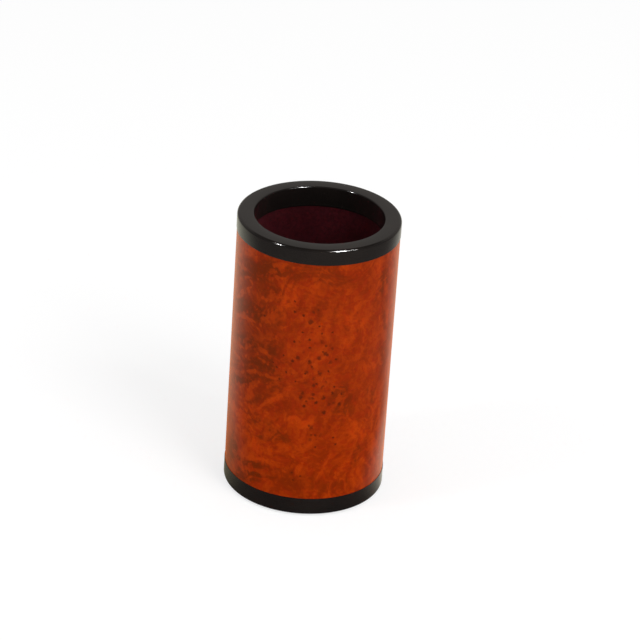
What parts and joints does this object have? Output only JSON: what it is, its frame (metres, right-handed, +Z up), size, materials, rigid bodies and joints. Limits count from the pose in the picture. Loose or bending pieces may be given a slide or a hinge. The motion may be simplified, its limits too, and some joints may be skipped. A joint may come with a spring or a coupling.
{
  "type": "pen stand",
  "caption": "Round pen stand: a burl veneered tube between black lacquered rings, with a felt lined well open at the top and a felt pad under its base.",
  "frame": {"origin": "on the table, under the middle of the stand", "axes": "+Z up along the axis of the tube, +Y towards the back, where the seam of the veneer is"},
  "size_m": [0.0604, 0.0604, 0.11],
  "materials": {
    "burl_wood": "burl veneer under clear gloss lacquer",
    "black_lacquer": "black gloss lacquer on turned wood",
    "core_wood": "plain turned wood, glued",
    "lining_felt": "burgundy felt, short nap",
    "base_felt": "black felt, short nap"
  },
  "bodies": {
    "root": {"core_tube": "core_wood", "burl_veneer": "burl_wood", "top_ring": "black_lacquer", "base_ring": "black_lacquer", "floor_disc": "core_wood", "lining_floor": "lining_felt", "lining_sleeve": "lining_felt", "base_pad": "base_felt"}
  },
  "joints": []
}
